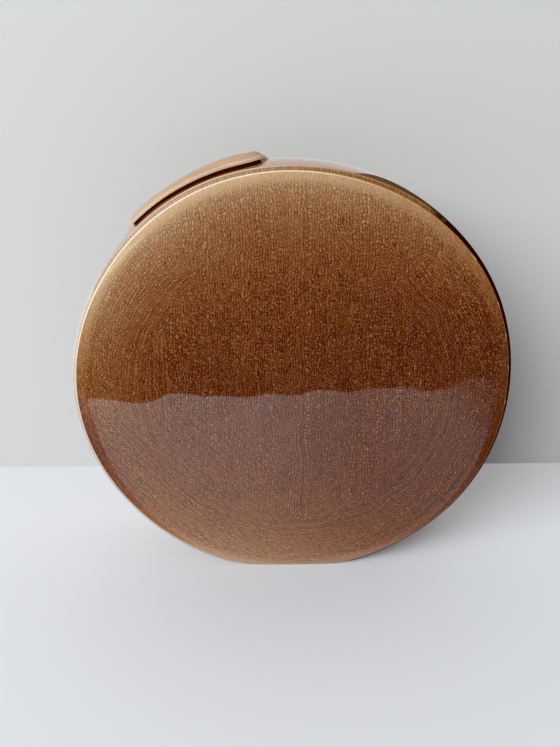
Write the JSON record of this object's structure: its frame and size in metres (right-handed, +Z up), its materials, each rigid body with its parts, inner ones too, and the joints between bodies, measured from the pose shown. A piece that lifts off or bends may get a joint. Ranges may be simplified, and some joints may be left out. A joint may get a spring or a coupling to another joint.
{
  "type": "disc vase",
  "caption": "Upright round disc vase in brown crackle glaze, with a low oval mouth set off-centre on its rim and a flat foot.",
  "frame": {"origin": "on the surface that the vase stands on, under the middle of the foot", "axes": "+Z up, +X to the right seen from the front, +Y from the front face to the back face; the disc's axis runs along Y"},
  "size_m": [0.25, 0.065, 0.2454],
  "materials": {
    "face_glaze": "glossy chestnut glaze thinning to tan towards the edge, finely crackled",
    "band_glaze": "glossy tan to brown crackle glaze",
    "collar_glaze": "glossy tan crackle glaze, pooled dark at the foot of the collar",
    "bare_clay": "matt fired stoneware, wiped free of glaze"
  },
  "bodies": {
    "root": {"front_face": "face_glaze", "back_face": "face_glaze", "side_band": "band_glaze", "foot_slab": "bare_clay", "mouth_collar": "collar_glaze"}
  },
  "joints": []
}
